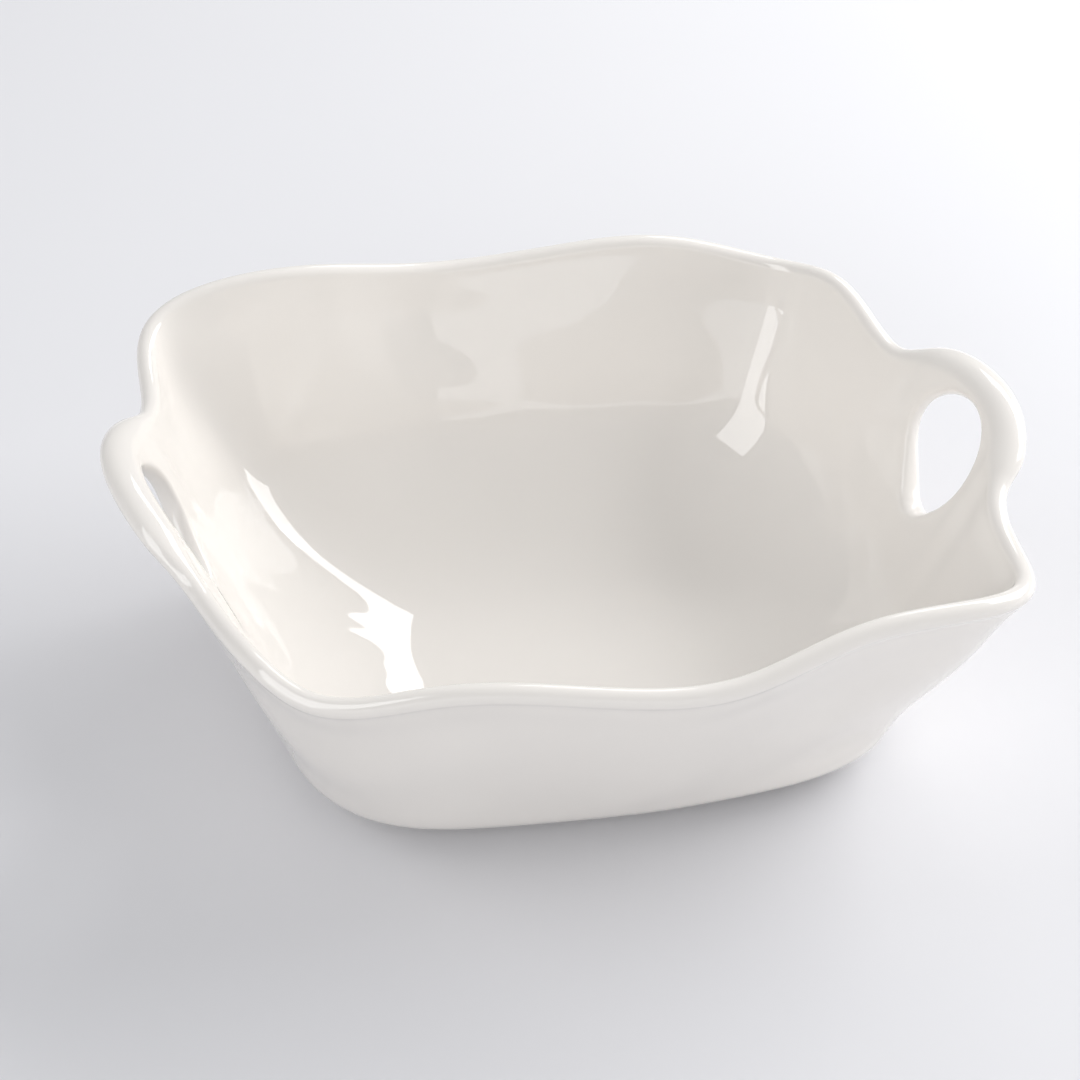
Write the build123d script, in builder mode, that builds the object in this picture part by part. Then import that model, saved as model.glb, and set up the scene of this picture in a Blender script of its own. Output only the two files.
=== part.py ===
"""A free-form porcelain serving bowl with two pierced loop handles.

The frame is millimetres. +Z is up and z = 0 is the surface the bowl stands on. The origin is the
middle of the foot's resting face, +X runs along the line through the two handles, and +Y points to
the long side that the back lip runs along. The bowl looks the same after half a turn about Z, so
its outline is set out over one half, and the other half is the same points turned half a turn.

The bowl is fired as one piece. Its parts are the ones a potter forms and joins with slip: the walled
body, the rolled lip along each long side, the two loop handles and the foot ring. The lips and the
handles are bedded down over the wall's top edge, as slipped clay is.
"""

import os
from math import atan2, cos, hypot, pi, radians, sin

from build123d import *

# Overall form
end_reach = 145.0  # from the centre to the lip beside a handle, along X
side_reach = 130.0  # from the centre to the middle of a long side's lip, along Y
lip_height = 99.5  # mean height of the lip's centre line
base_reach_x = 102.5  # from the centre to where the wall's line meets the table, along X
base_reach_y = 85.0  # the same along Y
base_squareness = 3.45  # exponent of the base's rounded-square outline, 2 is an ellipse
base_turn = -2.5  # degrees that the base's outline is turned against the handles
wall_lean = 0.8  # under 1 the wall leans out most near the base and steepens towards the lip

# Wall, floor and foot
wall_thickness = 5.0
floor_thickness = 6.0
edge_radius = 12.0  # round where the wall turns under the bowl
floor_radius = 22.0  # round where the wall meets the floor inside
foot_height = 3.0
foot_width = 7.0
foot_inset = 20.0  # from the base's outline in to the foot's outer edge

# Lip and handles
lip_diameter = 7.0
handle_shift = -10.0  # how far the right handle's middle is from the X axis
handle_span = 92.0  # along Y, between the two places where a handle grows out of the lip
handle_stand = 11.5  # how far the handle's crown stands out past the lip's end reach
handle_rise = 9.5  # how far the crown rises over the lip's mean height
grip_width = 13.0  # across the strap, from the finger hole to the outside
grip_thickness = 8.5

# Finger hole, a drop shape with its point down
hole_width = 44.0
hole_tip_radius = 6.0
hole_tip_drop = 22.0  # from the centre of the round part down to the centre of the tip
hole_head = 23.0  # from the crown's centre line down to the centre of the round part
hole_lean = 70.0  # degrees from horizontal, the slope of the wall that the hole pierces
hole_cut_depth = 30.0  # how far the cut runs each way from the wall's middle

# How finely the wall's curve is drawn
round_steps = 4  # levels over each rounded bottom edge
round_start = pi / 8  # where each of those rounds begins, as an angle from straight down
wall_steps = 6  # levels from there to the lip
foot_points = 16  # points round the foot's outline

# The lip over one half, from the right handle's front end to the left handle's back end.
# Each station is a share of end_reach, a share of side_reach, and a rise over lip_height in mm.
front_end_y = (handle_shift - handle_span / 2) / side_reach
back_end_y = (handle_shift + handle_span / 2) / side_reach
crown_x = (end_reach + handle_stand) / end_reach
half_lip = [
    (0.985, front_end_y, 0.0),
    (crown_x, handle_shift / side_reach, handle_rise),
    (0.955, back_end_y, -5.0),
    (0.870, 0.620, 0.0),
    (0.765, 0.780, -4.0),
    (0.490, 0.895, 3.0),
    (0.160, 0.955, 0.5),
    (-0.195, 0.990, -2.5),
    (-0.535, 0.940, 8.0),
    (-0.925, 0.830, 2.0),
]
crown = 1  # the right handle's crown, as a place in the list
back_end = 2  # the right handle's back end
seam = 6  # where the wall's closed outlines begin, away from the handles


def lip_points():
    """The lip's centre line as points, once round from the right handle's front end."""
    half = [(x * end_reach, y * side_reach, lip_height + rise) for x, y, rise in half_lip]
    return half + [(-x, -y, z) for x, y, z in half]


def shifted(line, shift):
    """A closed line of (x, y, z) points moved outwards in plan by a shift."""
    moved = []
    for i, (x, y, z) in enumerate(line):
        ahead = line[(i + 1) % len(line)]
        behind = line[i - 1]
        run = hypot(ahead[0] - behind[0], ahead[1] - behind[1])
        out_x = (ahead[1] - behind[1]) / run
        out_y = (behind[0] - ahead[0]) / run
        moved.append((x + shift * out_x, y + shift * out_y, z))
    return moved


def base_reach(angle, inset=0.0):
    """How far the base's rounded-square outline is from the centre, at an angle."""
    turn = angle - radians(base_turn)
    along = (abs(cos(turn)) / (base_reach_x - inset)) ** base_squareness
    across = (abs(sin(turn)) / (base_reach_y - inset)) ** base_squareness
    return (along + across) ** (-1 / base_squareness)


def wall_line(height):
    """The middle of the wall at a height, as a closed line of points."""
    line = []
    for x, y, z in lip_points():
        base = base_reach(atan2(y, x)) / hypot(x, y)
        share = base + (1 - base) * (height / z) ** wall_lean
        line.append((x * share, y * share, height))
    return line


def levels(start, radius):
    """The wall's levels from its rounded bottom edge up, each a height and how far it is pulled in."""
    result = []
    for step in range(round_steps + 1):
        turn = round_start + (pi / 2 - round_start) * step / round_steps
        result.append((start + radius * (cos(round_start) - cos(turn)), radius * (1 - sin(turn))))
    first = result[-1][0]
    for step in range(1, wall_steps):
        result.append((first + (lip_height - first) * step / wall_steps, 0.0))
    return result


def closed_curve(line):
    """A smooth closed curve through a line of points, each tangent set by the two steps that meet."""
    points = [Vector(*point) for point in line]
    tangents = []
    for i, point in enumerate(points):
        step_in = point - points[i - 1]
        step_out = points[(i + 1) % len(points)] - point
        tangents.append(step_in.normalized() * step_out.length + step_out.normalized() * step_in.length)
    return Edge.make_spline(points, tangents=tangents, periodic=True)


def wall_wire(line):
    """A closed wire through a line of wall points, begun away from the handles."""
    return Wire([closed_curve(line[seam:] + line[:seam])])


def wall_rings(start, radius, shift):
    """One skin of the wall as closed wires, from its bottom edge to the lip's centre line."""
    rings = []
    for height, pull_in in levels(start, radius):
        rings.append(wall_wire(shifted(wall_line(height), shift - pull_in)))
    return rings + [wall_wire(shifted(lip_points(), shift))]


# The lip's centre line is one closed curve, cut where the handles grow out of it
lip_line = closed_curve(lip_points())
left_start = len(half_lip)
handle_ends = [back_end, left_start, left_start + back_end]
cuts = [lip_line.param_at_point(Vector(*lip_points()[i])) for i in handle_ends]


def square_plane(path, share):
    """The plane square to a path at a share of its length, with its x axis level."""
    along = path.tangent_at(share)
    return Plane(origin=path.position_at(share), x_dir=along.cross(Vector(0, 0, 1)), z_dir=along)


lip_paths = {"back_lip": lip_line.trim(cuts[0], cuts[1]), "front_lip": lip_line.trim(cuts[2], 1.0)}
handle_paths = {"right_handle": lip_line.trim(0.0, cuts[0]), "left_handle": lip_line.trim(cuts[1], cuts[2])}
pieces = []

# The rolled lip along each long side
for name, path in lip_paths.items():
    with BuildPart() as lip:
        with BuildLine():
            add(path)
        with BuildSketch(square_plane(path, 0)):
            Circle(lip_diameter / 2)
        sweep()
    lip.part.label = name
    pieces.append(lip.part)

# Each handle swells from the lip's round section to the flat grip and back
for name, path in handle_paths.items():
    with BuildPart() as handle:
        with BuildLine():
            add(path)
        with BuildSketch(square_plane(path, 0)):
            Circle(lip_diameter / 2)
        with BuildSketch(square_plane(path, 0.5)):
            Ellipse(grip_width / 2, grip_thickness / 2)
        with BuildSketch(square_plane(path, 1)):
            Circle(lip_diameter / 2)
        sweep(multisection=True)
    handle.part.label = name
    pieces.append(handle.part)

# The walled body: an outer and an inner skin joined along the top, the underside and the floor
outer_rings = wall_rings(foot_height, edge_radius, wall_thickness / 2)
inner_rings = wall_rings(foot_height + floor_thickness, floor_radius, -wall_thickness / 2)
top_edge = Face.make_surface_from_curves(outer_rings[-1].edge(), inner_rings[-1].edge())
skins = Shell.make_loft(outer_rings).faces() + Shell.make_loft(inner_rings).faces()
walls = Solid(Shell([*skins, top_edge, Face(outer_rings[0]), Face(inner_rings[0])]))

# The finger holes pierce it under the handles' crowns
hole_height = lip_height + handle_rise - hole_head
hole_reach = wall_line(hole_height)[crown][0]
lean = radians(hole_lean)

with BuildPart() as bowl_body:
    add(walls)
    for side in (1, -1):
        hole_plane = Plane(
            origin=(side * hole_reach, side * handle_shift, hole_height),
            x_dir=(0, side, 0),
            z_dir=(side * sin(lean), 0, -cos(lean)),
        )
        with BuildSketch(hole_plane):
            Circle(hole_width / 2)
            with Locations((0, -hole_tip_drop)):
                Circle(hole_tip_radius)
            make_hull()
        extrude(amount=hole_cut_depth, both=True, mode=Mode.SUBTRACT)
bowl_body.part.label = "bowl_body"
pieces.append(bowl_body.part)


def foot_outline(inset):
    """The base's outline, drawn in by an inset."""
    angles = [2 * pi * i / foot_points for i in range(foot_points)]
    return closed_curve([(base_reach(a, inset) * cos(a), base_reach(a, inset) * sin(a), 0) for a in angles])


# The low foot ring, its resting face ground free of glaze
with BuildPart() as foot_ring:
    with BuildSketch():
        with BuildLine():
            add(foot_outline(foot_inset))
        make_face()
        with BuildLine():
            add(foot_outline(foot_inset + foot_width))
        make_face(mode=Mode.SUBTRACT)
    extrude(amount=foot_height)
foot_ring.part.label = "foot_ring"
pieces.append(foot_ring.part)

os.makedirs("parts", exist_ok=True)
for piece in pieces:
    export_step(piece, f"parts/{piece.label}.step")
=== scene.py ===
"""The finish of a free-form porcelain serving bowl with two pierced loop handles.

The glazed bowl is one continuous skin over the frame's walls, lips and handles, as a fired bowl is,
and the foot ring under it is ground bare. Shapes are worked out in millimetres in the frame's own
axes: +X runs along the line through the handles, +Z is up and z = 0 is the table.
"""

import math

import bmesh
import bpy
import numpy as np
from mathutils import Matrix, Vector


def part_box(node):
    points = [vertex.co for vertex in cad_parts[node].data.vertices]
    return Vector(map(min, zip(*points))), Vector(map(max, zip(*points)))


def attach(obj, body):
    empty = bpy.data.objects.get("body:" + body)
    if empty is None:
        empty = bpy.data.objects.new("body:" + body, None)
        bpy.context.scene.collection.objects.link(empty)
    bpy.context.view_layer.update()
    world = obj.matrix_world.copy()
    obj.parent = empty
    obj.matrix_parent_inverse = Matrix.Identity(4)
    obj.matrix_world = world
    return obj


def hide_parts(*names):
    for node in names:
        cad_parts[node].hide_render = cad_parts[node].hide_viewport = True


bl_info = {
    "name": "Porcelain Serving Bowl",
    "version": (1, 0, 0),
    "blender": (4, 5, 0),
    "location": "View3D > Sidebar > Porcelain Bowl",
    "description": "Builds a glazed free-form porcelain bowl with pierced loop handles around its frame",
    "category": "Add Mesh",
}

MM = 0.001

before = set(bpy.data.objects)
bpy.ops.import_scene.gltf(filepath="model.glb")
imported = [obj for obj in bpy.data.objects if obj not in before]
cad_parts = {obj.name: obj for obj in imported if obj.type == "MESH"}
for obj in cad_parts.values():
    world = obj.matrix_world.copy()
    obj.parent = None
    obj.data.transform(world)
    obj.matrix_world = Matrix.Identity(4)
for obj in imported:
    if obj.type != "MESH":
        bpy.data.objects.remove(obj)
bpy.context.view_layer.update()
foot_low, foot_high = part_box("foot_ring")


# ---------------------------------------------------------------------------------------------
# Sizes and colours that a user would change
# ---------------------------------------------------------------------------------------------


class PorcelainBowlSizes(bpy.types.PropertyGroup):
    """The bowl's form, as a maker would measure it."""

    end_reach: bpy.props.FloatProperty(
        name="End Reach",
        description="From the centre to the lip beside a handle",
        default=0.145,
        unit="LENGTH",
    )
    side_reach: bpy.props.FloatProperty(
        name="Side Reach",
        description="From the centre to the middle of a long side's lip",
        default=0.130,
        unit="LENGTH",
    )
    lip_height: bpy.props.FloatProperty(
        name="Lip Height",
        description="Mean height of the lip's centre line",
        default=0.0995,
        unit="LENGTH",
    )
    base_reach_x: bpy.props.FloatProperty(
        name="Base Reach X",
        description="From the centre to where the wall's line meets the table, along the handles",
        default=0.1025,
        unit="LENGTH",
    )
    base_reach_y: bpy.props.FloatProperty(
        name="Base Reach Y",
        description="From the centre to where the wall's line meets the table, across the handles",
        default=0.085,
        unit="LENGTH",
    )
    wall_thickness: bpy.props.FloatProperty(
        name="Wall Thickness",
        description="Level thickness of the wall",
        default=0.0054,
        unit="LENGTH",
    )
    lip_diameter: bpy.props.FloatProperty(
        name="Lip Diameter",
        description="Across the rolled lip",
        default=0.0072,
        unit="LENGTH",
    )
    grip_width: bpy.props.FloatProperty(
        name="Grip Width",
        description="Across a handle's strap, from the finger hole to the outside",
        default=0.0132,
        unit="LENGTH",
    )
    grip_thickness: bpy.props.FloatProperty(
        name="Grip Thickness",
        description="Through a handle's strap",
        default=0.0090,
        unit="LENGTH",
    )
    hole_width: bpy.props.FloatProperty(
        name="Finger Hole Width",
        description="Across a finger hole at its widest",
        default=0.045,
        unit="LENGTH",
    )
    hole_height: bpy.props.FloatProperty(
        name="Finger Hole Height",
        description="From the finger hole's point to its top, up the wall",
        default=0.046,
        unit="LENGTH",
    )


class PorcelainGlazeFinish(bpy.types.PropertyGroup):
    """The glaze and the bare foot."""

    glaze_colour: bpy.props.StringProperty(
        name="Glaze Colour",
        description="Warm white of the glazed porcelain, as an sRGB hex value",
        default="ECE8E3",
    )
    biscuit_colour: bpy.props.StringProperty(
        name="Biscuit Colour",
        description="Unglazed porcelain of the ground foot, as an sRGB hex value",
        default="D9D2C6",
    )
    ripple_height: bpy.props.FloatProperty(
        name="Glaze Ripple",
        description="Height of the soft waves in the fired glaze",
        default=0.00006,
        precision=6,
        unit="LENGTH",
    )
    biscuit_grain: bpy.props.FloatProperty(
        name="Biscuit Grain",
        description="Height of the fine tooth that grinding leaves on the bare foot",
        default=0.00002,
        precision=6,
        unit="LENGTH",
    )


class StudioSetup(bpy.types.PropertyGroup):
    """Where the camera stands, the paper under the bowl and the light all round it."""

    view_azimuth: bpy.props.FloatProperty(
        name="View Azimuth",
        description="Direction that the camera looks in, turned from +Y towards +X",
        default=math.radians(12.985),
        subtype="ANGLE",
    )
    view_elevation: bpy.props.FloatProperty(
        name="View Elevation",
        description="How far the camera looks down",
        default=math.radians(40.0),
        subtype="ANGLE",
    )
    view_distance: bpy.props.FloatProperty(
        name="View Distance",
        description="From the camera to the point that it looks at",
        default=1.035,
        unit="LENGTH",
    )
    lens: bpy.props.FloatProperty(
        name="Lens",
        description="Focal length in millimetres on a 36 mm sensor",
        default=100.0,
    )
    paper_colour: bpy.props.StringProperty(
        name="Paper Colour",
        description="Pale cool paper that the bowl stands on, as an sRGB hex value",
        default="DFDFE2",
    )
    air_colour: bpy.props.StringProperty(
        name="Air Colour",
        description="Even light of the room, as an sRGB hex value",
        default="F3F4F6",
    )
    air_strength: bpy.props.FloatProperty(
        name="Air Strength",
        description="How bright the room's even light is",
        default=0.50,
    )


# ---------------------------------------------------------------------------------------------
# The bowl's form, in millimetres
# ---------------------------------------------------------------------------------------------

BASE_SQUARENESS = 3.45  # exponent of the base outline: 2 is an ellipse and more is squarer
BASE_TURN = math.radians(-2.5)
WALL_LEAN = 0.8  # exponent of the wall's rise: 1 is a straight lean and less is a flare at the base
WALL_LOWEST = 0.1  # height under which the wall's plan no longer changes
WALL_TAPER = 5.0  # how much thicker the wall is at the table than at the lip, on its inside
ROLL_BITE = 0.55  # how far the wall's middle runs into the roll, as a share of half its width

FOOT_HEIGHT = 3.0
FOOT_WIDTH = 7.0
FOOT_BAR = 4.5  # height of the swept foot bar, whose top is buried in the body
FOOT_STATIONS = 160
EDGE_RADIUS = 12.0
EDGE_TURNS = (18, 36, 54, 72, 90)
UNDERSIDE_PULLS = (36.0, 28.0, 21.0, 15.0)  # how far the rings under the bowl are drawn in
FLOOR_LEVEL = 9.0
FLOOR_RISE = 35.0  # how high the round between floor and wall goes
FLOOR_SWEEP = 58.0  # how far it reaches in over the floor
FLOOR_TURNS = (4, 10, 17, 25, 33, 41, 50, 59, 68, 77, 85)
FLOOR_DISH = 0.8
CAP_CORNER = 40.0  # direction in degrees in which the floor's square block of faces has a corner

HANDLE_SHIFT = -10.0
HANDLE_SPAN = 92.0
HANDLE_FROM = 0.9  # share of the end reach past which the lip can be a handle
GRIP_FRONT_EASE = (1.0, 13.0)  # the strap swells between these distances in from its front end
GRIP_BACK_EASE = (-20.0, 4.0)  # and shrinks between these distances past its back end
GRIP_LEAN = math.radians(14.0)
GRIP_SWELL = 1.0  # how much each skin swells beside a finger hole
GRIP_SWELL_FULL = 0.55  # share of the upper wall's height where that is reached
SKIN_BLEND = 0.70  # share of the upper wall's height where the skins start to turn to the roll
ROLL_SWELL = 1.04  # makes up for what subdivision takes off a round section
ROLL_POINTS = 11
# Degrees round the roll, from its outward long axis, where the skins meet it: on a lip and on a grip
OUTER_MEET = (122, 102)
INNER_MEET = (-112, -156)

HOLE_TOP_GAP = 1.0
HOLE_TAPER = 0.30  # how much narrower a hole gets towards its point
HOLE_RINGS = (0.30, 0.60, 0.85, 1.0)  # rings between a hole's patch and its edge, as shares
HOLE_ROUND = 2.4  # how far the rounded edge of a hole stands into it
HOLE_TURNS = (25, 55, 90, 125, 155)
PATCH_MARGIN = 8.0

# Hand-formed unevenness of the clay
WAVER_WIDE = 0.8
WAVER_NARROW = 0.55
DIMPLE_DEPTH = 0.50
DIMPLE_FROM, DIMPLE_FULL = 12.0, 30.0  # heights between which the dimples fade in
OUTER_DIMPLE_SHIFT = 1.9  # gives the outer skin its own dimples
HEEL_ANGLE = math.radians(-41.0)
HEEL_SPREAD = 0.62  # in radians each way
HEEL_SWELL = 4.0
HEEL_SWELL_HEIGHT, HEEL_SWELL_REACH = 13.0, 24.0
HEEL_HOLLOW = 1.3
HEEL_HOLLOW_HEIGHT, HEEL_HOLLOW_REACH = 42.0, 26.0
INNER_HEEL = 0.4  # how much of the heel shows on the inner skin

COLUMNS = 200  # faces round the bowl, a multiple of four
DENSE = 1600  # places round the lip at which its tables are worked out
GRID = COLUMNS // 4
UPPER_START = 46.0  # height above which both skins share their rows
UPPER_ROWS = 15
LOWER_ROWS = 8  # rings from the rounded edge to there on the outer skin, both ends counted

# The lip over one half, from the right handle's front end to the left handle's back end: a share
# of the end reach, a share of the side reach, and a rise over the lip's mean height in mm.
HALF_LIP = [
    (0.985, -0.431, -0.5),
    (1.052, -0.300, 6.0),
    (1.079, -0.154, 9.8),
    (1.062, 0.000, 9.4),
    (1.012, 0.154, 4.0),
    (0.955, 0.277, -5.0),
    (0.870, 0.620, 0.0),
    (0.765, 0.780, -4.0),
    (0.490, 0.895, 3.0),
    (0.160, 0.955, 0.5),
    (-0.195, 0.990, -2.5),
    (-0.535, 0.940, 8.0),
    (-0.925, 0.830, 2.0),
]


def lip_stations(sizes):
    """The lip's centre line as points, once round from the right handle's front end."""
    shares = np.array(HALF_LIP)
    reach = np.array([sizes.end_reach / MM, sizes.side_reach / MM, 1.0])
    half = shares * reach + [0, 0, sizes.lip_height / MM]
    return np.vstack([half, half * [-1, -1, 1]])


def closed_spline(points, count):
    """Points spaced evenly along a smooth closed curve through the points given."""
    number = len(points)
    step = np.linalg.norm(np.roll(points, -1, axis=0) - points, axis=1)
    before = np.roll(step, 1)
    slope = (np.roll(points, -1, axis=0) - points) / step[:, None]
    system = np.diag(2 * (step + before))
    for i in range(number):
        system[i, (i + 1) % number] += step[i]
        system[i, i - 1] += before[i]
    bend = np.linalg.solve(system, 6 * (slope - np.roll(slope, 1, axis=0)))
    starts = np.concatenate([[0], np.cumsum(step)])
    fine = np.linspace(0, starts[-1], 8 * count, endpoint=False)
    span = np.searchsorted(starts, fine, side="right") - 1
    after = (span + 1) % number
    length = step[span][:, None]
    right = (fine - starts[span])[:, None]
    left = length - right
    curve = (bend[span] * left**3 + bend[after] * right**3) / (6 * length)
    curve += (points[span] / length - bend[span] * length / 6) * left
    curve += (points[after] / length - bend[after] * length / 6) * right
    hop = np.linalg.norm(np.diff(np.vstack([curve, curve[:1]]), axis=0), axis=1)
    along = np.concatenate([[0], np.cumsum(hop)])
    wanted = np.linspace(0, along[-1], count, endpoint=False)
    closed = np.vstack([curve, curve[:1]])
    return np.stack([np.interp(wanted, along, closed[:, axis]) for axis in range(3)], axis=1)


def smooth(low, high, value):
    """0 below low, 1 above high, and a smooth step between."""
    share = np.clip((value - low) / (high - low), 0, 1)
    return share * share * (3 - 2 * share)


def bump(value, centre, width):
    """1 at the centre and fading to 0 about one width away."""
    return np.exp(-(((value - centre) / width) ** 2) * 2)


class BowlForm:
    """The bowl's walls and lip as functions of a place round the lip, 0 to 1, and a height."""

    def __init__(self, sizes):
        self.sizes = sizes
        self.half_wall = sizes.wall_thickness / MM / 2
        self.lip = closed_spline(lip_stations(sizes), DENSE)
        angle = np.arctan2(self.lip[:, 1], self.lip[:, 0])
        turn = angle - BASE_TURN
        along = (np.abs(np.cos(turn)) / (sizes.base_reach_x / MM)) ** BASE_SQUARENESS
        across = (np.abs(np.sin(turn)) / (sizes.base_reach_y / MM)) ** BASE_SQUARENESS
        reach = (along + across) ** (-1 / BASE_SQUARENESS)
        self.base = np.stack([reach * np.cos(angle), reach * np.sin(angle), 0 * reach], axis=1)
        # How much of a handle each place is: 1 along a grip and 0 along a lip
        side = np.where(self.lip[:, 0] > 0, 1.0, -1.0)
        across_grip = self.lip[:, 1] * side - HANDLE_SHIFT
        at_end = np.abs(self.lip[:, 0]) > HANDLE_FROM * sizes.end_reach / MM
        from_front = across_grip + HANDLE_SPAN / 2
        past_back = across_grip - HANDLE_SPAN / 2
        front = smooth(*GRIP_FRONT_EASE, from_front)
        back = 1 - smooth(*GRIP_BACK_EASE, past_back)
        self.grip = np.where(at_end, front * back, 0.0)
        # The roll's section: half across, half through, and how far its long axis leans
        lip_half = sizes.lip_diameter / MM / 2
        self.half_across = lip_half + (sizes.grip_width / MM / 2 - lip_half) * self.grip
        self.half_through = lip_half + (sizes.grip_thickness / MM / 2 - lip_half) * self.grip
        rise = self.lip - self.base
        slope = np.arctan2(self.lip[:, 2], np.hypot(rise[:, 0], rise[:, 1]) * WALL_LEAN)
        self.roll_lean = slope + (GRIP_LEAN - slope) * self.grip
        ahead = np.roll(self.lip, -1, axis=0) - np.roll(self.lip, 1, axis=0)
        run = np.hypot(ahead[:, 0], ahead[:, 1])
        self.out = np.stack([ahead[:, 1] / run, -ahead[:, 0] / run, 0 * run], axis=1)
        up = np.array([0, 0, 1.0])
        level = np.cos(self.roll_lean)[:, None]
        steep = np.sin(self.roll_lean)[:, None]
        self.long_axis = self.out * level + up * steep
        self.cross_axis = self.out * steep - up * level
        # The wall's middle runs up into the roll, and its two skins meet the roll's surface
        self.join = self.lip - self.long_axis * (ROLL_BITE * self.half_across)[:, None]
        self.outer_turn = np.radians(OUTER_MEET[0] + (OUTER_MEET[1] - OUTER_MEET[0]) * self.grip)
        self.inner_turn = np.radians(INNER_MEET[0] + (INNER_MEET[1] - INNER_MEET[0]) * self.grip)
        self.outer_top = self.on_roll(self.outer_turn)
        self.inner_top = self.on_roll(self.inner_turn)

    def on_roll(self, turn):
        """The line on the roll's surface at an angle from its outward long axis."""
        across = self.half_across * ROLL_SWELL * np.cos(turn)
        through = self.half_through * ROLL_SWELL * np.sin(turn)
        return self.lip + self.long_axis * across[:, None] + self.cross_axis * through[:, None]

    def at(self, table, place):
        """A dense table read at places round the lip."""
        closed = np.concatenate([table, table[:1]])
        marks = np.linspace(0, 1, DENSE + 1)
        place = np.asarray(place) % 1.0
        if table.ndim == 1:
            return np.interp(place, marks, closed)
        return np.stack([np.interp(place, marks, closed[:, axis]) for axis in range(3)], axis=-1)

    def steps(self, table):
        """How fast a dense table changes round the lip."""
        return (np.roll(table, -1, axis=0) - np.roll(table, 1, axis=0)) * DENSE / 2

    def wall(self, place, height, shift):
        """Points on the wall's middle at places and heights, moved outwards in plan by a shift."""
        join = self.at(self.join, place)
        base = self.at(self.base, place)
        share = ((np.maximum(height, WALL_LOWEST) / join[..., 2]) ** WALL_LEAN)[..., None]
        middle = base + (join - base) * share
        base_run = self.at(self.steps(self.base), place)
        join_run = self.at(self.steps(self.join), place)
        run = base_run * (1 - share) + join_run * share
        length = np.hypot(run[..., 0], run[..., 1])
        out = np.stack([run[..., 1] / length, -run[..., 0] / length, 0 * length], axis=-1)
        inside = shift < 0
        waver = self.waver(middle, height / join[..., 2])
        heel = np.where(inside, INNER_HEEL, 1.0) * self.heel(middle)
        marks = np.where(inside, self.dimples(middle, 0.0), self.dimples(middle, OUTER_DIMPLE_SHIFT))
        taper = np.where(inside, WALL_TAPER * np.clip(1 - height / join[..., 2], 0, 1), 0.0)
        point = middle + out * (shift + waver + marks + heel - taper)[..., None]
        point[..., 2] = height
        return point

    def waver(self, middle, share):
        """The hand-formed unevenness of the wall, in mm outwards."""
        angle = np.arctan2(middle[..., 1], middle[..., 0])
        body = np.sin(np.pi * np.clip(share, 0, 1)) ** 0.7
        wide = WAVER_WIDE * np.sin(3 * angle + 0.7)
        narrow = WAVER_NARROW * np.sin(7 * angle - 0.4 + 2 * share)
        return (wide + narrow) * body

    def heel(self, middle):
        """The pressed-out corners of the base, hollowed above, in mm outwards."""
        angle = np.arctan2(middle[..., 1], middle[..., 0])
        apart = np.abs((angle - HEEL_ANGLE + np.pi / 2) % np.pi - np.pi / 2)
        height = middle[..., 2]
        swell = HEEL_SWELL * bump(height, HEEL_SWELL_HEIGHT, HEEL_SWELL_REACH)
        hollow = HEEL_HOLLOW * bump(height, HEEL_HOLLOW_HEIGHT, HEEL_HOLLOW_REACH)
        return (swell - hollow) * bump(apart, 0.0, HEEL_SPREAD)

    def dimples(self, point, shift):
        """The finer unevenness that fingers leave in the clay, in mm outwards.

        Waves between about 60 and 95 mm long bend each other, so that no dimple repeats. The shift
        in radians moves them along.
        """
        x, y, z = point[..., 0], point[..., 1], point[..., 2]
        sway = np.sin(z / 19 + shift) + 0.7 * np.sin(y / 31 - shift)
        wave = np.sin(x / 15 + 1.5 * sway) * np.sin(y / 13 + 1.2 * np.sin(x / 23) - shift)
        wave = wave + 0.8 * np.sin(z / 10 + 1.9 * np.sin(x / 24 + y / 17) + shift)
        return wave * DIMPLE_DEPTH * smooth(DIMPLE_FROM, DIMPLE_FULL, z)

    def skin(self, place, row, side):
        """Points on the upper wall's outer (+1) or inner (-1) skin, at rows from its start to the roll."""
        goal = self.at(self.outer_top if side > 0 else self.inner_top, place)
        share = row / UPPER_ROWS
        height = UPPER_START + (goal[..., 2] - UPPER_START) * share
        half = self.half_wall + GRIP_SWELL * self.at(self.grip, place) * smooth(0.0, GRIP_SWELL_FULL, share)
        point = self.wall(place, height, side * half)
        miss = goal - self.wall(place, goal[..., 2], side * half)
        return point + miss * smooth(SKIN_BLEND, 1.0, share)[..., None]


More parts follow.
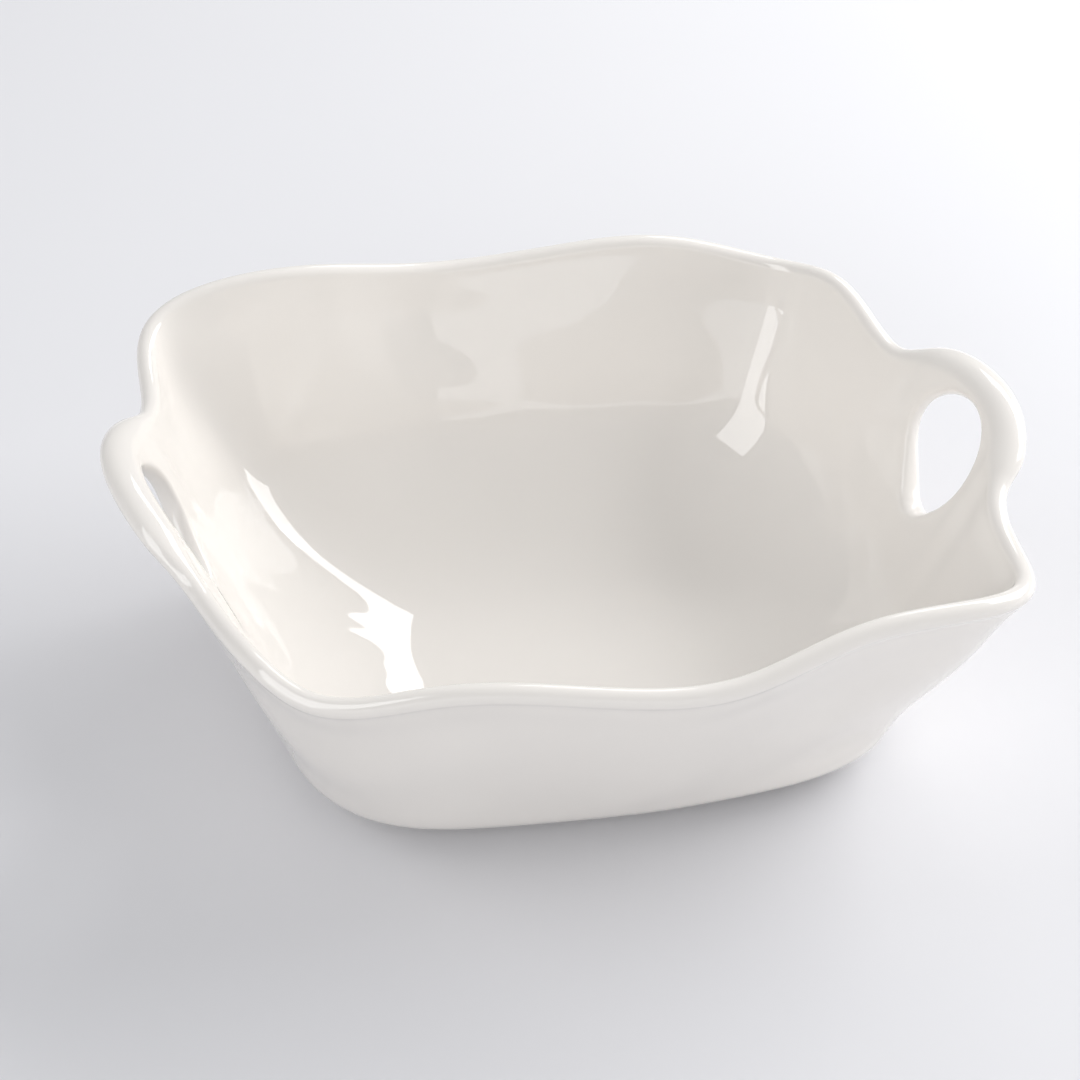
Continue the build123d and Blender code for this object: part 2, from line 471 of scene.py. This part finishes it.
class SkinMesh:
    """Gathers vertices and faces for one closed skin."""

    def __init__(self):
        self.points = []
        self.faces = []

    def add(self, points):
        """Adds points and returns their numbers."""
        start = len(self.points)
        self.points.extend([tuple(point) for point in points])
        return np.arange(start, start + len(points))

    def strip(self, lower, upper, skip=()):
        """Joins two closed rings of equal count with quads, leaving out the columns to skip."""
        count = len(lower)
        for i in range(count):
            if i not in skip:
                j = (i + 1) % count
                self.faces.append((lower[i], lower[j], upper[j], upper[i]))

    def cap(self, ring, corner, dish):
        """Fills a ring with a square block of quads, dished by a depth at its middle."""
        turned = np.roll(ring, -corner)
        grid = np.zeros((GRID + 1, GRID + 1), dtype=int)
        grid[:, 0] = turned[: GRID + 1]
        grid[GRID, :] = turned[GRID : 2 * GRID + 1]
        grid[::-1, GRID] = turned[2 * GRID : 3 * GRID + 1]
        grid[0, ::-1] = np.append(turned[3 * GRID :], turned[0])
        place = np.zeros((GRID + 1, GRID + 1, 3))
        edge = np.array(self.points)
        place[:, 0], place[:, -1] = edge[grid[:, 0]], edge[grid[:, -1]]
        place[0, :], place[-1, :] = edge[grid[0, :]], edge[grid[-1, :]]
        share = np.linspace(0, 1, GRID + 1)
        u = share[:, None, None]
        v = share[None, :, None]
        blend = (1 - v) * place[:, :1] + v * place[:, -1:] + (1 - u) * place[:1, :] + u * place[-1:, :]
        corners = (1 - u) * (1 - v) * place[0, 0] + u * (1 - v) * place[-1, 0]
        corners = corners + (1 - u) * v * place[0, -1] + u * v * place[-1, -1]
        filled = blend - corners
        filled[..., 2] -= dish * (16 * u * (1 - u) * v * (1 - v))[..., 0]
        inner = self.add(filled[1:-1, 1:-1].reshape(-1, 3))
        grid[1:-1, 1:-1] = inner.reshape(GRID - 1, GRID - 1)
        for i in range(GRID):
            for j in range(GRID):
                self.faces.append((grid[i, j], grid[i + 1, j], grid[i + 1, j + 1], grid[i, j + 1]))


def patch_loop(first, last, low, high):
    """Column and row numbers once round a patch's edge."""
    loop = [(i, low) for i in range(first, last)]
    loop += [(last, j) for j in range(low, high)]
    loop += [(i, high) for i in range(last, first, -1)]
    loop += [(first, j) for j in range(high, low, -1)]
    return loop


def glazed_skin(form):
    """The whole glazed bowl as one closed mesh of quads."""
    sizes = form.sizes
    mesh = SkinMesh()
    place = np.arange(COLUMNS) / COLUMNS
    half = form.half_wall

    base_reach = np.array([sizes.base_reach_x, sizes.base_reach_y]) / MM

    def ring(height, shift, pull=0.0):
        """A level ring on one skin, drawn in towards the middle by a pull."""
        points = form.wall(place, np.full(COLUMNS, height), np.full(COLUMNS, shift))
        points[:, :2] *= 1 - pull / base_reach
        return mesh.add(points)

    # Underside and the rounded edge
    outer = [ring(FOOT_HEIGHT, half, pull) for pull in UNDERSIDE_PULLS]
    for turn in np.radians(EDGE_TURNS):
        rise = EDGE_RADIUS * (1 - math.cos(turn))
        outer.append(ring(FOOT_HEIGHT + rise, half, EDGE_RADIUS * (1 - math.sin(turn))))
    for height in np.linspace(FOOT_HEIGHT + EDGE_RADIUS, UPPER_START, LOWER_ROWS)[1:-1]:
        outer.append(ring(height, half))
    # Floor and its wide round inside
    inner = []
    for turn in np.radians(FLOOR_TURNS):
        rise = FLOOR_RISE * (1 - math.cos(turn))
        pull = FLOOR_SWEEP * (1 - math.sin(turn))
        inner.append(ring(FLOOR_LEVEL + rise, -half, pull))
    # The upper wall, whose rows the two skins share
    rows = [np.full(COLUMNS, float(row)) for row in range(UPPER_ROWS + 1)]
    outer_upper = [mesh.add(form.skin(place, row, 1)) for row in rows]
    inner_upper = [mesh.add(form.skin(place, row, -1)) for row in rows]
    # The roll, from the outer skin over the top to the inner skin
    roll = []
    for step in range(1, ROLL_POINTS):
        share = step / ROLL_POINTS
        turn = form.outer_turn * (1 - share) + form.inner_turn * share
        roll.append(mesh.add(form.at(form.on_roll(turn), place)))

    # Where the finger holes are
    holes = []
    for side in (1, -1):
        off = np.abs(form.lip[:, 1] * side - HANDLE_SHIFT)
        off[form.lip[:, 0] * side <= 0] = np.inf
        holes.append(hole_patch(form, np.argmin(off) / DENSE))
    covered = [set() for _ in range(UPPER_ROWS)]
    for hole in holes:
        for row in range(hole["low"], hole["high"]):
            covered[row].update(i % COLUMNS for i in range(hole["first"], hole["last"]))

    for rings in (outer, inner):
        for lower, upper in zip(rings, rings[1:]):
            mesh.strip(lower, upper)
    mesh.strip(outer[-1], outer_upper[0])
    mesh.strip(inner[-1], inner_upper[0])
    for row in range(UPPER_ROWS):
        mesh.strip(outer_upper[row], outer_upper[row + 1], covered[row])
        mesh.strip(inner_upper[row], inner_upper[row + 1], covered[row])
    mesh.strip(outer_upper[-1], roll[0])
    for lower, upper in zip(roll, roll[1:]):
        mesh.strip(lower, upper)
    mesh.strip(roll[-1], inner_upper[-1])

    for hole in holes:
        edges = []
        for rows, side in ((outer_upper, 1), (inner_upper, -1)):
            loop = np.array([rows[j][i % COLUMNS] for i, j in hole["loop"]])
            for share in HOLE_RINGS:
                inner_loop = mesh.add(form.skin(*hole["ring"](share), side))
                mesh.strip(loop, inner_loop)
                loop = inner_loop
            edges.append(loop)
        table = np.array(mesh.points)
        outside, inside = table[edges[0]], table[edges[1]]
        inward = (outside + inside).mean(axis=0) / 2 - (outside + inside) / 2
        inward /= np.linalg.norm(inward, axis=1)[:, None]
        loop = edges[0]
        for turn in np.radians(HOLE_TURNS):
            through = outside + (inside - outside) * (1 - math.cos(turn)) / 2
            tunnel = mesh.add(through + inward * HOLE_ROUND * math.sin(turn))
            mesh.strip(loop, tunnel)
            loop = tunnel
        mesh.strip(loop, edges[1])

    lip = form.at(form.lip, place)
    angle = np.degrees(np.arctan2(lip[:, 1], lip[:, 0]))
    corner = int(np.argmin(np.abs(angle - CAP_CORNER)))
    mesh.cap(outer[0], corner, 0.0)
    mesh.cap(inner[0], corner, FLOOR_DISH)
    return mesh


def hole_patch(form, centre):
    """The columns and rows that one finger hole takes, and its rings as places and rows."""
    half_width = form.sizes.hole_width / MM / 2 + HOLE_ROUND
    half_height = form.sizes.hole_height / MM / 2 + HOLE_ROUND
    top = form.at(form.outer_top, np.array([centre]))[0]
    base = form.at(form.base, np.array([centre]))[0]
    slope = math.atan2(top[2], np.hypot(*(top - base)[:2]) * WALL_LEAN)
    row_rise = (top[2] - UPPER_START) / UPPER_ROWS / math.sin(slope)
    row_centre = UPPER_ROWS - (HOLE_TOP_GAP + half_height) / row_rise
    step = 0.001
    near = form.wall(centre + np.array([-step, step]), np.full(2, top[2] - half_height), np.zeros(2))
    per_place = np.linalg.norm(near[1] - near[0]) / (2 * step)
    column_centre = centre * COLUMNS
    reach = (half_width + PATCH_MARGIN) * COLUMNS / per_place
    first = math.floor(column_centre - reach)
    last = math.ceil(column_centre + reach)
    low = max(0, math.floor(row_centre - (half_height + PATCH_MARGIN) / row_rise))
    loop = patch_loop(first, last, low, UPPER_ROWS)
    aside = np.array([(i - column_centre) * per_place / COLUMNS for i, j in loop])
    upward = np.array([(j - row_centre) * row_rise for i, j in loop])
    turn = np.arctan2(aside / half_width, upward / half_height)
    edge_aside = half_width * np.sin(turn) * (1 + HOLE_TAPER * np.cos(turn))
    edge_upward = half_height * np.cos(turn)

    def ring(share):
        at_aside = aside + (edge_aside - aside) * share
        at_upward = upward + (edge_upward - upward) * share
        return centre + at_aside / per_place, row_centre + at_upward / row_rise

    return {"first": first, "last": last, "low": low, "high": UPPER_ROWS, "loop": loop, "ring": ring}


# ---------------------------------------------------------------------------------------------
# Materials
# ---------------------------------------------------------------------------------------------


def linear(hex_value):
    """An sRGB hex colour as the linear colour with alpha that the shaders use."""
    channels = [int(hex_value[i : i + 2], 16) / 255 for i in (0, 2, 4)]
    return [c / 12.92 if c <= 0.04045 else ((c + 0.055) / 1.055) ** 2.4 for c in channels] + [1.0]


def node(tree, kind, links=None, **settings):
    """Adds a node with its settings and its links, each link an input's name and its source."""
    made = tree.nodes.new(kind)
    for key, value in settings.items():
        if key.startswith("in_"):
            made.inputs[key[3:].replace("_", " ")].default_value = value
        else:
            setattr(made, key, value)
    for name, source in (links or {}).items():
        tree.links.new(source, made.inputs[name])
    return made


def new_material(name):
    """An empty node material with its output, and the object coordinates in it."""
    material = bpy.data.materials.new(name)
    material.use_nodes = True
    tree = material.node_tree
    tree.nodes.clear()
    output = node(tree, "ShaderNodeOutputMaterial")
    place = node(tree, "ShaderNodeTexCoord").outputs["Object"]
    return material, tree, output, place


def glazed_porcelain(finish):
    """Porcelain dipped in clear glaze and fired: a milky body under a hard, mirror-like gloss."""
    material, tree, output, place = new_material("glazed_porcelain")
    # Pooled glaze is a little deeper in colour over patches about 60 mm wide
    pool = node(tree, "ShaderNodeTexNoise", {"Vector": place}, in_Scale=16.0, in_Detail=2.0)
    tone = node(tree, "ShaderNodeValToRGB", {"Fac": pool.outputs["Fac"]})
    white = linear(finish.glaze_colour)
    tone.color_ramp.elements[0].position = 0.3
    tone.color_ramp.elements[0].color = [c * 0.985 for c in white[:3]] + [1.0]
    tone.color_ramp.elements[1].position = 0.7
    tone.color_ramp.elements[1].color = white
    # Soft waves of the melted glaze, about 25 mm apart, with a finer 4 mm orange peel in its surface
    swell = node(tree, "ShaderNodeTexNoise", {"Vector": place}, in_Scale=40.0, in_Detail=1.0)
    peel = node(tree, "ShaderNodeTexNoise", {"Vector": place}, in_Scale=250.0, in_Detail=1.0)
    swell_bump = node(
        tree,
        "ShaderNodeBump",
        {"Height": swell.outputs["Fac"]},
        in_Strength=1.0,
        in_Distance=finish.ripple_height * 2,
    )
    peel_bump = node(
        tree,
        "ShaderNodeBump",
        {"Height": peel.outputs["Fac"], "Normal": swell_bump.outputs["Normal"]},
        in_Strength=1.0,
        in_Distance=finish.ripple_height * 0.04,
    )
    # The clear glaze is the coat, so the milky body under it has no gloss of its own
    shader = node(
        tree,
        "ShaderNodeBsdfPrincipled",
        {
            "Base Color": tone.outputs["Color"],
            "Normal": swell_bump.outputs["Normal"],
            "Coat Normal": peel_bump.outputs["Normal"],
        },
        in_Roughness=0.45,
        in_IOR=1.5,
        in_Specular_IOR_Level=0.0,
        in_Coat_Weight=1.0,
        in_Coat_Roughness=0.025,
        in_Coat_IOR=1.56,
    )
    tree.links.new(shader.outputs["BSDF"], output.inputs["Surface"])
    return material


def biscuit_porcelain(finish):
    """Bare fired porcelain ground flat on a wheel: dull, faintly warm and finely grained."""
    material, tree, output, place = new_material("ground_biscuit_porcelain")
    # The grit leaves grain of about 0.1 mm, drawn about 1 mm wide so that it shows
    grain = node(tree, "ShaderNodeTexNoise", {"Vector": place}, in_Scale=900.0, in_Detail=3.0)
    tone = node(tree, "ShaderNodeValToRGB", {"Fac": grain.outputs["Fac"]})
    bare = linear(finish.biscuit_colour)
    tone.color_ramp.elements[0].color = [c * 0.93 for c in bare[:3]] + [1.0]
    tone.color_ramp.elements[1].color = bare
    tooth = node(
        tree,
        "ShaderNodeBump",
        {"Height": grain.outputs["Fac"]},
        in_Strength=1.0,
        in_Distance=finish.biscuit_grain,
    )
    shader = node(
        tree,
        "ShaderNodeBsdfPrincipled",
        {"Base Color": tone.outputs["Color"], "Normal": tooth.outputs["Normal"]},
        in_Roughness=0.72,
        in_IOR=1.5,
    )
    tree.links.new(shader.outputs["BSDF"], output.inputs["Surface"])
    return material


def studio_paper(setup):
    """Plain matt backdrop paper, very pale and cool."""
    material, tree, output, _place = new_material("studio_paper")
    shader = node(
        tree,
        "ShaderNodeBsdfPrincipled",
        in_Base_Color=linear(setup.paper_colour),
        in_Roughness=0.9,
    )
    tree.links.new(shader.outputs["BSDF"], output.inputs["Surface"])
    return material


# ---------------------------------------------------------------------------------------------
# Pieces
# ---------------------------------------------------------------------------------------------


def mesh_object(name, points, faces, material):
    """A smooth-shaded object at the origin from points in millimetres."""
    data = bpy.data.meshes.new(name)
    places = [tuple(c * MM for c in point) for point in points]
    data.from_pydata(places, [], [tuple(map(int, face)) for face in faces])
    shape = bmesh.new()
    shape.from_mesh(data)
    bmesh.ops.recalc_face_normals(shape, faces=shape.faces)
    shape.to_mesh(data)
    shape.free()
    data.polygons.foreach_set("use_smooth", [True] * len(data.polygons))
    data.materials.append(material)
    piece = bpy.data.objects.new(name, data)
    bpy.context.scene.collection.objects.link(piece)
    return piece


def swept_ring_tree(material):
    """Geometry nodes that sweep a rounded bar along a closed curve."""
    tree = bpy.data.node_groups.new("swept_foot", "GeometryNodeTree")
    tree.interface.new_socket("Geometry", in_out="INPUT", socket_type="NodeSocketGeometry")
    for name, value in (("Width", 0.007), ("Height", 0.004), ("Corner", 0.0015)):
        socket = tree.interface.new_socket(name, in_out="INPUT", socket_type="NodeSocketFloat")
        socket.default_value = value
        socket.subtype = "DISTANCE"
    tree.interface.new_socket("Geometry", in_out="OUTPUT", socket_type="NodeSocketGeometry")
    start = node(tree, "NodeGroupInput")
    bar = node(
        tree,
        "GeometryNodeCurvePrimitiveQuadrilateral",
        {"Width": start.outputs["Width"], "Height": start.outputs["Height"]},
    )
    eased = node(
        tree,
        "GeometryNodeFilletCurve",
        {"Curve": bar.outputs["Curve"], "Radius": start.outputs["Corner"]},
    )
    eased.mode = "POLY"
    eased.inputs["Count"].default_value = 5
    swept = node(
        tree,
        "GeometryNodeCurveToMesh",
        {"Curve": start.outputs["Geometry"], "Profile Curve": eased.outputs["Curve"]},
    )
    shaded = node(tree, "GeometryNodeSetShadeSmooth", {"Geometry": swept.outputs["Mesh"]})
    real = node(tree, "GeometryNodeRealizeInstances", {"Geometry": shaded.outputs["Geometry"]})
    finished = node(tree, "GeometryNodeSetMaterial", {"Geometry": real.outputs["Geometry"]})
    finished.inputs["Material"].default_value = material
    node(tree, "NodeGroupOutput", {"Geometry": finished.outputs["Geometry"]})
    return tree


class BOWL_OT_glazed_body(bpy.types.Operator):
    """Build the glazed walls, lip and handles as one fired piece"""

    bl_idname = "bowl.glazed_body"
    bl_label = "Glazed Body"

    def execute(self, context):
        scene = context.scene
        form = BowlForm(scene.bowl_sizes)
        skin = glazed_skin(form)
        body = mesh_object("glazed_body", skin.points, skin.faces, glazed_porcelain(scene.bowl_finish))
        rounding = body.modifiers.new("rounding", "SUBSURF")
        rounding.levels = 1
        rounding.render_levels = 1
        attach(body, "root")
        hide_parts("bowl_body", "back_lip", "front_lip", "right_handle", "left_handle")
        return {"FINISHED"}


class BOWL_OT_foot_ring(bpy.types.Operator):
    """Sweep the bare foot ring along the base's outline"""

    bl_idname = "bowl.foot_ring"
    bl_label = "Foot Ring"

    def execute(self, context):
        scene = context.scene
        material = biscuit_porcelain(scene.bowl_finish)
        form = BowlForm(scene.bowl_sizes)
        place = np.arange(FOOT_STATIONS) / FOOT_STATIONS
        middle = form.wall(place, np.full(FOOT_STATIONS, WALL_LOWEST), np.zeros(FOOT_STATIONS))
        for axis in (0, 1):
            reach = (foot_high[axis] - foot_low[axis]) / 2 / MM - FOOT_WIDTH / 2
            middle[:, axis] *= reach / np.abs(middle[:, axis]).max()
        path = bpy.data.curves.new("foot_path", "CURVE")
        path.dimensions = "3D"
        spline = path.splines.new("POLY")
        spline.points.add(len(middle) - 1)
        for point, (x, y, _z) in zip(spline.points, middle):
            point.co = (x * MM, y * MM, FOOT_BAR / 2 * MM, 1.0)
        spline.use_cyclic_u = True
        guide = bpy.data.objects.new("foot_path", path)
        scene.collection.objects.link(guide)
        sweep = guide.modifiers.new("sweep", "NODES")
        sweep.node_group = swept_ring_tree(material)
        for item in sweep.node_group.interface.items_tree:
            if item.in_out == "INPUT" and item.name == "Width":
                sweep[item.identifier] = FOOT_WIDTH * MM
            if item.in_out == "INPUT" and item.name == "Height":
                sweep[item.identifier] = FOOT_BAR * MM
        evaluated = guide.evaluated_get(context.evaluated_depsgraph_get())
        data = bpy.data.meshes.new_from_object(evaluated)
        data.name = "foot_ring_biscuit"
        ring = bpy.data.objects.new("foot_ring_biscuit", data)
        scene.collection.objects.link(ring)
        bpy.data.objects.remove(guide)
        shape = bmesh.new()
        shape.from_mesh(data)
        bmesh.ops.remove_doubles(shape, verts=shape.verts, dist=1e-6)
        bmesh.ops.recalc_face_normals(shape, faces=shape.faces)
        shape.to_mesh(data)
        shape.free()
        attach(ring, "root")
        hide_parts("foot_ring")
        return {"FINISHED"}


PAPER = 6000  # half a side of the paper on the floor, in mm

# The point that the camera looks at, in metres, with +Y away from the camera
VIEW_AIM = (-0.0089, -0.0491, 0.102)

# Each softbox: name, place and aim in metres, size, power in watts, and what it lights: all, body or gloss
SOFTBOXES = [
    ("key_softbox", (1.15, 0.60, 0.82), (0.1, -0.05, 0.0), (1.2, 0.85), 17.0, "all"),
    ("back_softbox", (0.53, 1.08, 1.0), (0.0, 0.0, 0.05), (0.85, 0.34), 4.6, "all"),
    ("front_fill", (-0.55, -1.4, 0.85), (0.0, 0.0, 0.03), (1.4, 1.0), 8.5, "body"),
    ("right_fill", (1.5, -0.75, 0.22), (0.1, -0.05, 0.02), (0.9, 0.4), 3.2, "body"),
    ("left_fill", (-1.3, 0.15, 0.95), (0.05, 0.0, 0.04), (0.8, 0.8), 3.8, "body"),
    ("strip_reflector", (-0.84, -0.62, 0.74), (0.0, 0.05, 0.05), (0.62, 1.4), 10.0, "gloss"),
    ("low_reflector", (-0.3, -2.0, 0.42), (0.0, 0.0, 0.1), (2.4, 0.62), 5.5, "gloss"),
]


class BOWL_OT_studio(bpy.types.Operator):
    """Set out the floor, the soft lights and the camera"""

    bl_idname = "bowl.studio"
    bl_label = "Studio"

    def execute(self, context):
        scene = context.scene
        setup = scene.bowl_studio
        paper = mesh_object(
            "studio_floor",
            [(-PAPER, -PAPER, 0), (PAPER, -PAPER, 0), (PAPER, PAPER, 0), (-PAPER, PAPER, 0)],
            [(0, 1, 2, 3)],
            studio_paper(setup),
        )
        world = bpy.data.worlds.new("studio_air")
        world.use_nodes = True
        air = world.node_tree.nodes["Background"]
        air.inputs["Color"].default_value = linear(setup.air_colour)
        air.inputs["Strength"].default_value = setup.air_strength
        scene.world = world
        # Plain tones, so that white glaze under a softbox can reach paper white
        scene.view_settings.view_transform = "Standard"
        turn = setup.view_azimuth
        for name, place, aim, size, power, lights in SOFTBOXES:
            lamp = bpy.data.lights.new(name, "AREA")
            lamp.shape = "RECTANGLE"
            lamp.size, lamp.size_y = size
            lamp.energy = power
            light = bpy.data.objects.new(name, lamp)
            light.location = turned(place, turn)
            light.rotation_euler = (turned(aim, turn) - light.location).to_track_quat("-Z", "Y").to_euler()
            light.visible_diffuse = lights != "gloss"
            light.visible_glossy = lights != "body"
            scene.collection.objects.link(light)
        lens = bpy.data.cameras.new("bowl_camera")
        lens.sensor_width = 36.0
        lens.lens = setup.lens
        lens.clip_end = 100.0
        camera = bpy.data.objects.new("bowl_camera", lens)
        aim = turned(VIEW_AIM, turn)
        tilt = setup.view_elevation
        away = turned((0, -math.cos(tilt), math.sin(tilt)), turn)
        camera.location = aim + away * setup.view_distance
        camera.rotation_euler = (aim - camera.location).to_track_quat("-Z", "Y").to_euler()
        scene.collection.objects.link(camera)
        scene.camera = camera
        return {"FINISHED"}


def turned(place, turn):
    """A place given with +Y away from the camera, in the frame's own axes."""
    x, y, z = place
    return Vector((x * math.cos(turn) + y * math.sin(turn), y * math.cos(turn) - x * math.sin(turn), z))


class BOWL_PT_panel(bpy.types.Panel):
    """Lists the bowl's pieces, sizes and colours"""

    bl_idname = "BOWL_PT_panel"
    bl_label = "Porcelain Bowl"
    bl_space_type = "VIEW_3D"
    bl_region_type = "UI"
    bl_category = "Porcelain Bowl"

    def draw(self, context):
        for group in (context.scene.bowl_sizes, context.scene.bowl_finish, context.scene.bowl_studio):
            box = self.layout.box()
            for name in group.bl_rna.properties.keys():
                if name not in ("rna_type", "name"):
                    box.prop(group, name)
        for operator in OPERATORS:
            self.layout.operator(operator.bl_idname)


OPERATORS = (BOWL_OT_glazed_body, BOWL_OT_foot_ring, BOWL_OT_studio)
CLASSES = (PorcelainBowlSizes, PorcelainGlazeFinish, StudioSetup, *OPERATORS, BOWL_PT_panel)


def register():
    for kind in CLASSES:
        bpy.utils.register_class(kind)
    bpy.types.Scene.bowl_sizes = bpy.props.PointerProperty(type=PorcelainBowlSizes)
    bpy.types.Scene.bowl_finish = bpy.props.PointerProperty(type=PorcelainGlazeFinish)
    bpy.types.Scene.bowl_studio = bpy.props.PointerProperty(type=StudioSetup)


def unregister():
    for name in ("bowl_sizes", "bowl_finish", "bowl_studio"):
        delattr(bpy.types.Scene, name)
    for kind in reversed(CLASSES):
        bpy.utils.unregister_class(kind)


def main():
    register()
    bpy.ops.bowl.studio()
    bpy.ops.bowl.glazed_body()
    bpy.ops.bowl.foot_ring()


if __name__ == "__main__":
    main()
